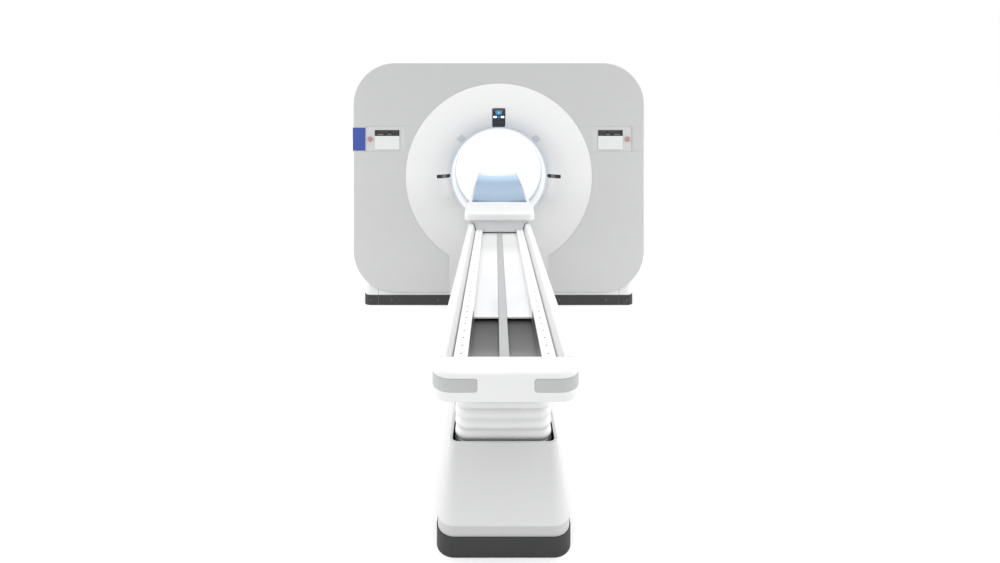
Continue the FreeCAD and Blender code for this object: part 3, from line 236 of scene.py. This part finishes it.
# ---------------------------------------------------------------- finishes
finishes = {
    # grey cover: its grey darkens upwards, painted shade that sets the cover's tone by height
    "grey_cover": shaded_coating("grey_cover_shaded_paint", "Z", 0.1, 2.0, [(0.0, 0.440), (0.6, 0.415), (1.0, 0.385)]),
    "side_cover": painted("side_cover_paint", (0.62, 0.622, 0.626)),
    "white_cover": moulded("white_moulding", (0.600, 0.602, 0.604)),
    # pedestal: a darker band at the foot, and above it a grey that darkens upwards, painted shade under the
    # tray
    "pedestal_grey": shaded_coating("pedestal_shaded_paint", "Z", 0.0, 0.36,
                            [(0.0, 0.465), (0.293, 0.465), (0.297, 0.575), (1.0, 0.525)]),
    "plinth_dark": rubbery("plinth_plastic", (0.034, 0.0345, 0.035)),
    "screw_steel": metal("screw_steel_finish", (0.10, 0.10, 0.11)),
    # ring bezels: grey falls towards the floor, painted shade on the lower ring
    "ring_cover": shaded_moulding("ring_shaded_moulding", 0.30, 2.00,
                                 [(0.0, 0.490), (0.45, 0.590), (1.0, 0.600)]),
    "cap_white": moulded("cap_moulding", (0.645, 0.647, 0.650)),
    "floor_gloss": moulded("floor_panel_gloss", (0.66, 0.662, 0.665), 0.09, 0.00001),
    # bore liner: a faint glow, painted light that whitens the inside of the bore
    "liner_white": glowing("liner_glow_moulding", (0.84, 0.855, 0.87), 0.28, 0.20),
    "window_film": moulded("scan_window_film", (0.62, 0.70, 0.78), 0.2),
    # seal: a faint glow, painted light that keeps the rubber seal pale
    "seal_rubber": glowing("seal_glow_rubber", (0.62, 0.66, 0.70), 0.45, 0.12),
    "camera_black": moulded("camera_plastic", (0.02, 0.022, 0.025), 0.22),
    "slot_black": moulded("slot_glass", (0.008, 0.008, 0.009), 0.12),
    "corner_grey": moulded("corner_window_plastic", (0.46, 0.475, 0.49), 0.25),
    "panel_grey": painted("panel_paint", (0.440, 0.442, 0.446)),
    "display_panel": moulded("display_frame", (0.47, 0.473, 0.477), 0.2),
    "button_red": moulded("button_plastic", (0.40, 0.17, 0.19), 0.3),
    "tag_blue": painted("tag_paint", (0.030, 0.055, 0.26), 0.35),
    "frame_steel": painted("frame_paint", (0.13, 0.14, 0.16), 0.5),
    "bearing_steel": metal("bearing_steel_finish", (0.55, 0.56, 0.58)),
    "slip_brass": metal("slip_brass_finish", (0.72, 0.52, 0.22), 0.25),
    "tube_housing": cast("tube_casting", (0.60, 0.61, 0.63), 0.45, 0.8),
    "detector_grey": cast("detector_anodising", (0.25, 0.27, 0.30), 0.4, 0.6),
    "tank_grey": painted("tank_paint", (0.30, 0.31, 0.33), 0.5),
    "weight_iron": cast("weight_iron_finish", (0.08, 0.08, 0.085), 0.65),
    "belt_rubber": rubbery("belt_rubber_finish", (0.03, 0.03, 0.03)),
    # chassis: grey from 0.42 at the foot end of the well to near black towards the gantry, painted shade deep
    # in the well and a painted reflection towards its foot end
    "chassis_dark": shaded_coating("chassis_shaded_paint", "Y", -3.12, -2.64,
                           [(0.0, 0.42), (0.5, 0.110), (1.0, 0.034)]),
    "guide_aluminium": painted("guide_rail_coating", (0.72, 0.722, 0.725), 0.3),
    "strip_grey": painted("strip_plastic", (0.385, 0.387, 0.390), 0.4),
    "pad_grey": rubbery("pad_rubber", (0.405, 0.407, 0.410)),
    "carriage_grey": painted("carriage_paint", (0.62, 0.625, 0.635)),
    "cradle_white": moulded("cradle_laminate", (0.70, 0.705, 0.71), 0.25),
    # mattress: far paler towards the head end, a painted reflection there and painted shade at the foot
    "mattress_blue": vinyl("mattress_painted_light_vinyl", -0.94, 0.82,
                           [(0.0, (0.150, 0.228, 0.330)), (0.36, (0.260, 0.398, 0.570)),
                            (0.78, (0.455, 0.680, 0.930))]),
    # bellows: grey lighter towards the floor, painted light that evens out the shade on the lower pleats
    "bellows_grey": shaded_coating("bellows_shaded_sheet", "Z", 0.33, 0.72, [(0.0, 0.72), (0.5, 0.625), (1.0, 0.600)]),
    "roller_rubber": rubbery("roller_rubber_finish", (0.15, 0.15, 0.155)),
}


own_finish = {"front_bezel": "ring_cover", "rear_bezel": "ring_cover", "floor_panels": "floor_gloss",
              "foot_cap": "cap_white", "tray_cover": "cap_white"}


def dress_nodes():
    """Every CAD node gets the finish of its slot, or its own where it has one."""
    for part in frame["record"]["subparts"]:
        thing = nodes[part["node"]]
        thing.data.materials.clear()
        thing.data.materials.append(finishes[own_finish.get(part["node"], part["material_slot"])])


# ---------------------------------------------------------------- mesh helpers
ISO = 1.062                # bore axis above the floor
WELD = 2e-6                # points nearer than this are one
FLAT_ANGLE = 0.3           # degrees; faces that differ less are one
RAY_START_Y = -3.5         # in front of everything on the gantry
INLAY_SINK = 0.0015        # an inlay reaches this far under its surface
INLAY_DROP = 0.35          # share of its thickness that an inlay's rim drops
DISPLAY_X, DISPLAY_Z = 0.916, 1.364
BUTTON_X, BUTTON_Z, BUTTON_FACE_Y = 1.056, 1.370, -0.447
PLATE_X, PLATE_Z, PLATE_HALF_W, PLATE_HALF_H = 1.1400, 1.369, 0.0452, 0.094
PAD_VOXEL = 0.0065
PAD_SHRINK = 0.0018        # the pad starts this much smaller
PAD_RISE = 0.0026          # and no point of it moves further than this
PAD_PRESSURE = 4.0
PAD_FRAMES = 20
CRADLE_HALF_W, DISH_DEPTH, DISH_Z = 0.222, 0.018, 0.904


def piece(name, points, faces, finish, body, sharp=35.0):
    """Mesh object at the origin from arrays of points and faces, with one finish, riding on a body."""
    mesh = bpy.data.meshes.new(name)
    mesh.from_pydata(np.asarray(points, float).tolist(), [], [list(map(int, f)) for f in faces])
    mesh.materials.append(finish)
    mesh.validate()
    mesh.shade_smooth()
    mesh.set_sharp_from_angle(angle=math.radians(sharp))
    thing = bpy.data.objects.new(name, mesh)
    bpy.context.scene.collection.objects.link(thing)
    if body:
        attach(thing, body)
    return thing


def smooth_copy(node, sharp=32.0, bevel=0.0):
    """Stands for a CAD node: the same faces, merged into one skin, with smooth shading and soft edges."""
    source = nodes[node]
    mesh = source.data.copy()
    mesh.name = node + "_skin"
    work = bmesh.new()
    work.from_mesh(mesh)
    bmesh.ops.remove_doubles(work, verts=work.verts, dist=WELD)
    bmesh.ops.dissolve_degenerate(work, edges=work.edges, dist=1e-6)
    bmesh.ops.dissolve_limit(work, angle_limit=math.radians(FLAT_ANGLE), verts=work.verts,
                             edges=work.edges)
    work.to_mesh(mesh)
    work.free()
    mesh.shade_smooth()
    mesh.set_sharp_from_angle(angle=math.radians(sharp))
    skin = bpy.data.objects.new(node + "_skin", mesh)
    bpy.context.scene.collection.objects.link(skin)
    if bevel:
        edge = skin.modifiers.new("edge", "BEVEL")
        edge.width = bevel
        edge.segments = 2
        edge.limit_method = "ANGLE"
        edge.angle_limit = math.radians(sharp)
        edge.harden_normals = True
    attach(skin, body_of[node])
    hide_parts(node)
    return skin


def rounded_outline(half_w, half_h, radius, steps=8):
    """Points of a rounded rectangle round (0, 0): corner centre + radius * (cos a, sin a), by quarters."""
    corners = []
    for k, (sx, sy) in enumerate(((1, 1), (-1, 1), (-1, -1), (1, -1))):
        a = np.linspace(0, math.pi / 2, steps) + k * math.pi / 2
        corners.append(np.stack([sx * (half_w - radius) + radius * np.cos(a),
                                 sy * (half_h - radius) + radius * np.sin(a)], 1))
    return np.concatenate(corners)


def surface_y(host, x, z):
    """Depth at which lines along +Y through (x, z) first meet a CAD node, for arrays of x and z."""
    mesh = nodes[host].data
    tree = BVHTree.FromPolygons([v.co for v in mesh.vertices],
                                [tuple(p.vertices) for p in mesh.polygons])
    found = np.empty(len(x))
    for i, (px, pz) in enumerate(zip(x, z)):
        place = tree.ray_cast((float(px), RAY_START_Y, float(pz)), (0, 1, 0))[0]
        if place is None:
            raise ValueError("no surface of %s at %.3f, %.3f" % (host, px, pz))
        found[i] = place.y
    return found


def inlay(name, host, centre, outline, proud, finish, rings=5):
    """Thin plate lying on a CAD node's front: y = surface - proud, over s * outline for s from 0 to 1."""
    c = np.asarray(centre, float)
    count = len(outline)
    shares = np.linspace(0, 1, rings + 1)[1:]
    flat = np.concatenate([c[None]] + [c + s * outline for s in shares])
    y = surface_y(host, flat[:, 0], flat[:, 1])
    edge = INLAY_DROP * proud * (np.arange(len(flat)) >= len(flat) - count)     # the outermost ring drops
    front = np.stack([flat[:, 0], y - proud + edge, flat[:, 1]], 1)
    back = np.stack([flat[:, 0], y + INLAY_SINK, flat[:, 1]], 1)
    faces = []
    for side in (0, 1):
        base = side * len(flat)
        for k in range(count):
            j = (k + 1) % count
            fan = [base, base + 1 + k, base + 1 + j]
            faces.append(fan if side == 0 else fan[::-1])
            for r in range(rings - 1):
                a, b = base + 1 + r * count, base + 1 + (r + 1) * count
                quad = [a + k, b + k, b + j, a + j]
                faces.append(quad if side == 0 else quad[::-1])
    last = 1 + (rings - 1) * count
    for k in range(count):
        j = (k + 1) % count
        faces.append([last + j, last + k, len(flat) + last + k, len(flat) + last + j])
    return piece(name, np.concatenate([front, back]), np.array(faces, dtype=object), finish, "base")


# ---------------------------------------------------------------- fittings
def make_displays():
    """Screens with a dark header and pale generic boxes."""
    for side, word in ((-1, "left"), (1, "right")):
        host, x, z = "display_" + word, side * DISPLAY_X, DISPLAY_Z

        def mark(name, dx, dz, w, h, finish, proud, r=0.001):
            return inlay("%s_%s" % (name, word), host, (x + dx, z + dz),
                         rounded_outline(w / 2, h / 2, r, 4), proud, finish, rings=1)

        mark("screen_glass", 0, -0.0235, 0.198, 0.108, screen_white, 0.0006, 0.002)
        mark("screen_header", 0, 0.0555, 0.202, 0.048, screen_dark, 0.0006, 0.002)
        blocks = ((-0.062, 0.065, 0.050, 0.010), (0.020, 0.065, 0.070, 0.010),
                  (-0.074, 0.044, 0.034, 0.008), (-0.020, 0.044, 0.030, 0.008), (0.055, 0.044, 0.048, 0.008))
        for i, (dx, dz, w, h) in enumerate(blocks):
            shade = screen_mid if i < 3 else screen_soft
            mark("header_block_%d" % i, side * dx, dz, w, h, shade, 0.0009)
        boxes = ((-0.050, -0.002, 0.076, 0.004), (-0.050, -0.064, 0.076, 0.004),
                 (0.052, -0.010, 0.066, 0.003), (0.052, -0.032, 0.066, 0.003), (0.052, -0.054, 0.066, 0.003))
        for i, (dx, dz, w, h) in enumerate(boxes):
            mark("screen_rule_%d" % i, side * dx, dz, w, h, screen_pale, 0.0009)
        mark("screen_dot", side * -0.050, -0.034, 0.026, 0.026, screen_pale, 0.0009, 0.0129)


def make_button_collars():
    """Collar round each stop button: radius r0 + t * cos a, height t * sin a, turned about its axis."""
    for side, word in ((-1, "left"), (1, "right")):
        x, z, y0 = side * BUTTON_X, BUTTON_Z, BUTTON_FACE_Y
        steps, sections, collar_r, tube_r = 48, 12, 0.0225, 0.0035
        around = np.linspace(0, 2 * math.pi, steps, endpoint=False)
        section = np.linspace(0, 2 * math.pi, sections, endpoint=False)
        a, s = np.meshgrid(around, section, indexing="ij")
        r = collar_r + tube_r * np.cos(s)
        points = np.stack([x + r * np.cos(a), y0 - 0.0005 - tube_r * np.sin(s), z + r * np.sin(a)], -1)
        faces = [[i * sections + j, i * sections + (j + 1) % sections,
                  ((i + 1) % steps) * sections + (j + 1) % sections, ((i + 1) % steps) * sections + j]
                 for i in range(steps) for j in range(sections)]
        collar = piece("button_collar_" + word, points.reshape(-1, 3), faces, finishes["panel_grey"], "base")


def make_camera_module():
    """Lens, two lamps and ribs on the black housing over the bore."""
    def fit(name, x, up, shape, proud, finish):
        inlay(name, "camera_housing", (x, ISO + up), shape, proud, finish)

    lens = rounded_outline(0.026, 0.017, 0.006, 8)
    lens[:, 0] *= 1 + 0.22 * lens[:, 1] / 0.017                   # wider at the top
    fit("camera_rim", 0, 0.548, rounded_outline(0.047, 0.004, 0.0035, 6), 0.0020, camera_trim)
    fit("camera_lens", 0, 0.524, lens, 0.0018, lens_blue)
    fit("camera_iris", 0, 0.524, rounded_outline(0.0095, 0.0095, 0.0094, 8), 0.0032, lens_pale)
    for side in (-1, 1):
        fit("camera_lamp_%d" % side, side * 0.031, 0.4885, rounded_outline(0.0145, 0.0082, 0.0075, 8),
            0.0025, lamp_white)
    fit("camera_bridge", 0, 0.487, rounded_outline(0.016, 0.005, 0.0045, 8), 0.0015, lens_blue)
    fit("camera_foot", 0, 0.472, rounded_outline(0.012, 0.005, 0.0045, 8), 0.0015, lens_deep)
    for k in range(4):
        fit("camera_rib_%d" % k, 0, 0.456 - 0.0115 * k, rounded_outline(0.044, 0.0022, 0.002, 6),
            0.0022, camera_trim)


def make_side_plate():
    """Plain plate at the right edge of the front, as high as the coloured one on the left."""
    outline = rounded_outline(PLATE_HALF_W, PLATE_HALF_H, 0.004, 8)
    plate = inlay("right_side_plate", "front_cover", (PLATE_X, PLATE_Z), outline, 0.0028,
                  finishes["grey_cover"], rings=8)


def make_bellows():
    """Pleated skirt: half width and half length shrink by depth * (1 - |sin(pi * n)| ** 0.7), n pleats up."""
    z0, z1, valley, pitch = 0.331, 0.7178, 0.334, 0.0392
    depth, half_w, radius = 0.012, 0.181, 0.052
    y0, y1 = -2.774, -1.680
    rows = 161
    z = np.linspace(z0, z1, rows)
    inset = depth * (1 - np.abs(np.sin(math.pi * (z - valley) / pitch)) ** 0.7) + 0.0005
    outline = []
    for i in inset:
        ring = rounded_outline(half_w - i, (y1 - y0) / 2 - i, radius - i, 14)
        outline.append(np.column_stack([ring[:, 0], ring[:, 1] + (y0 + y1) / 2]))
    count = len(outline[0])
    points = np.concatenate([np.column_stack([o, np.full(count, h)]) for o, h in zip(outline, z)])
    faces = [[r * count + k, r * count + (k + 1) % count,
              (r + 1) * count + (k + 1) % count, (r + 1) * count + k]
             for r in range(rows - 1) for k in range(count)]
    faces.append(list(range(count))[::-1])
    faces.append([(rows - 1) * count + k for k in range(count)])
    skin = piece("bellows_skin", points, faces, finishes["bellows_grey"], None, sharp=60.0)
    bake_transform(skin)
    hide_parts("bellows")


def make_mattress():
    """Padded sheet in a vinyl cover, filled by a short cloth simulation from the CAD shape."""
    mesh = nodes["mattress"].data.copy()
    mesh.name = "mattress_pad"
    mesh.materials.clear()
    mesh.materials.append(finishes["mattress_blue"])
    work = bmesh.new()
    work.from_mesh(mesh)
    bmesh.ops.remove_doubles(work, verts=work.verts, dist=WELD)
    work.to_mesh(mesh)
    work.free()
    pad = bpy.data.objects.new("mattress_pad", mesh)
    bpy.context.scene.collection.objects.link(pad)
    bpy.context.view_layer.objects.active = pad
    remesh = pad.modifiers.new("remesh", "REMESH")
    remesh.mode = "VOXEL"
    remesh.voxel_size = PAD_VOXEL
    shape = baked(pad)
    count = len(shape.vertices)
    co, normal = np.empty(count * 3), np.empty(count * 3)
    shape.vertices.foreach_get("co", co)
    shape.vertices.foreach_get("normal", normal)
    start = co.reshape(-1, 3) - PAD_SHRINK * normal.reshape(-1, 3)
    shape.vertices.foreach_set("co", start.ravel())
    pad.modifiers.clear()
    pad.data = shape
    cloth = pad.modifiers.new("cloth", "CLOTH")
    cloth.settings.use_pressure = True
    cloth.settings.uniform_pressure_force = PAD_PRESSURE
    cloth.settings.effector_weights.gravity = 0.0
    cloth.point_cache.frame_start, cloth.point_cache.frame_end = 1, PAD_FRAMES
    for number in range(1, PAD_FRAMES + 1):
        bpy.context.scene.frame_set(number)
    filled = baked(pad)
    moved = np.empty(count * 3)
    filled.vertices.foreach_get("co", moved)
    step = moved.reshape(-1, 3) - start
    length = np.linalg.norm(step, axis=1, keepdims=True)
    allowed = np.minimum(length, PAD_RISE)
    start = start + step / np.maximum(length, 1e-9) * allowed
    pad.modifiers.clear()
    bpy.context.scene.frame_set(1)
    start = finish_pad(start)
    pad.data.vertices.foreach_set("co", start.ravel())
    pad.data.shade_smooth()
    fine = pad.modifiers.new("fine", "SUBSURF")
    fine.levels = fine.render_levels = 1
    final = baked(pad)
    pad.modifiers.clear()
    pad.data = final
    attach(pad, "cradle")
    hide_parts("mattress")


def finish_pad(points):
    """Keeps the pad over the cradle's dish and presses two welted lines into its long edges.

    Welts: z falls by 1.6 mm * exp(-((|x| - w) / 2.2 mm) ** 2), w = half width - 14 mm, on top only.
    """
    low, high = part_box("mattress")
    x, y, z = points.T.copy()
    share = (y - low[1]) / (high[1] - low[1])
    half = 0.203 + 0.015 * share
    radius = (CRADLE_HALF_W ** 2 + DISH_DEPTH ** 2) / (2 * DISH_DEPTH)
    dish = DISH_Z + radius - np.sqrt(radius ** 2 - np.clip(np.abs(x), 0, CRADLE_HALF_W) ** 2)
    upper = z > dish + 0.018
    z -= upper * 0.0016 * np.exp(-((np.abs(x) - half + 0.014) / 0.0022) ** 2)
    z = np.maximum(z, dish + 0.0004)
    x = np.clip(x, low[0] + 0.0005, high[0] - 0.0005)
    y = np.clip(y, low[1] + 0.0003, high[1] + 0.004)
    return np.column_stack([x, y, z])


def baked(thing):
    """A new mesh with the object's modifiers applied."""
    bpy.context.view_layer.update()
    graph = bpy.context.evaluated_depsgraph_get()
    return bpy.data.meshes.new_from_object(thing.evaluated_get(graph), depsgraph=graph)


# ---------------------------------------------------------------- studio
def make_camera():
    """Level camera in front of the couch's foot, shifted so that verticals stay vertical."""
    data = bpy.data.cameras.new("camera")
    camera = bpy.data.objects.new("camera", data)
    bpy.context.scene.collection.objects.link(camera)
    camera.location = (-0.031, -4.65, 1.509)
    camera.rotation_euler = (math.radians(90), 0, 0)
    data.lens = 18.43
    data.sensor_width = 36.0
    data.shift_x = 0.005
    data.shift_y = -0.1594
    data.clip_end = 200.0
    bpy.context.scene.camera = camera


def area_light(name, location, target, size, power):
    data = bpy.data.lights.new(name, "AREA")
    data.shape = "RECTANGLE"
    data.size, data.size_y = size
    data.energy = power
    lamp = bpy.data.objects.new(name, data)
    lamp.location = location
    lamp.rotation_euler = (Vector(target) - Vector(location)).to_track_quat("-Z", "Y").to_euler()
    bpy.context.scene.collection.objects.link(lamp)


def make_studio():
    scene = bpy.context.scene
    scene.view_settings.view_transform = "Standard"
    world = bpy.data.worlds.new("studio")
    world.use_nodes = True
    world.node_tree.nodes["Background"].inputs["Color"].default_value = (1, 1, 1, 1)
    world.node_tree.nodes["Background"].inputs["Strength"].default_value = 1.0
    scene.world = world
    mesh = bpy.data.meshes.new("floor")
    half = 40.0
    corners = [(-half, -half, 0), (half, -half, 0), (half, half, 0), (-half, half, 0)]
    mesh.from_pydata(corners, [], [(0, 1, 2, 3)])
    floor = bpy.data.objects.new("floor", mesh)
    scene.collection.objects.link(floor)
    paint = Finish("floor_paint", (0.64, 0.64, 0.64), 0.9, Emission_Strength=0.28)
    paint.tone(paint.noise(0.7), 0.01)
    mesh.materials.append(paint.material)
    area_light("key", (0.0, -3.0, 5.2), (0, 0, 1.2), (5.0, 3.0), 40)
    for side in (-1, 1):
        area_light("side_%d" % side, (side * 4.6, -1.7, 1.3), (0, -1.7, 0.6), (3.0, 2.2), 75)
    data = bpy.data.lights.new("overhead", "SUN")
    data.energy = 1.38
    data.angle = math.radians(70)
    overhead = bpy.data.objects.new("overhead", data)
    overhead.rotation_euler = (math.radians(12), 0, 0)
    scene.collection.objects.link(overhead)


# ---------------------------------------------------------------- the scene
body_of = {node: body for body, members in frame["record"]["behaviour"]["bodies"].items()
           for node in members}
screen_white = moulded("screen_white", (0.55, 0.553, 0.555), 0.2)
screen_dark = moulded("screen_dark", (0.010, 0.011, 0.010), 0.5)
screen_mid = moulded("screen_mid", (0.035, 0.037, 0.032), 0.4)
screen_soft = moulded("screen_soft", (0.12, 0.13, 0.10), 0.4)
screen_pale = moulded("screen_pale", (0.52, 0.54, 0.56), 0.2)
camera_trim = moulded("camera_trim", (0.06, 0.065, 0.07), 0.3)
lens_blue = moulded("lens_blue", (0.05, 0.20, 0.38), 0.12)
lens_pale = moulded("lens_pale", (0.16, 0.42, 0.62), 0.12)
lens_deep = moulded("lens_deep", (0.015, 0.06, 0.16), 0.12)
lamp_white = Finish("lamp_white", (0.95, 0.97, 1.0), 0.3, Emission_Strength=0.35)
lamp_white.shader.inputs["Emission Color"].default_value = (0.9, 0.96, 1.0, 1.0)
lamp_white = lamp_white.gloss(lamp_white.noise(60.0), 0.25, 0.35).material

dress_nodes()
for node in ("front_bezel", "rear_bezel", "front_cover", "rear_cover", "top_cover", "left_side_cover",
             "right_side_cover", "grip_pads", "tray_cover", "cradle_end_cap", "cradle_shell", "carriage",
             "couch_plinth", "bore_liner_front", "bore_liner_rear", "scan_window",
             "bore_seal_ring", "camera_housing", "laser_windows", "corner_windows", "plinth_ends",
             "skirt_ends", "support_roller", "stop_button_left", "stop_button_right", "side_tag",
             "link_duct"):
    smooth_copy(node)
smooth_copy("pedestal_cover", 9.0)
smooth_copy("foot_cap", bevel=0.004)
make_displays()
make_button_collars()
make_camera_module()
make_side_plate()
make_bellows()
make_mattress()
make_camera()
make_studio()
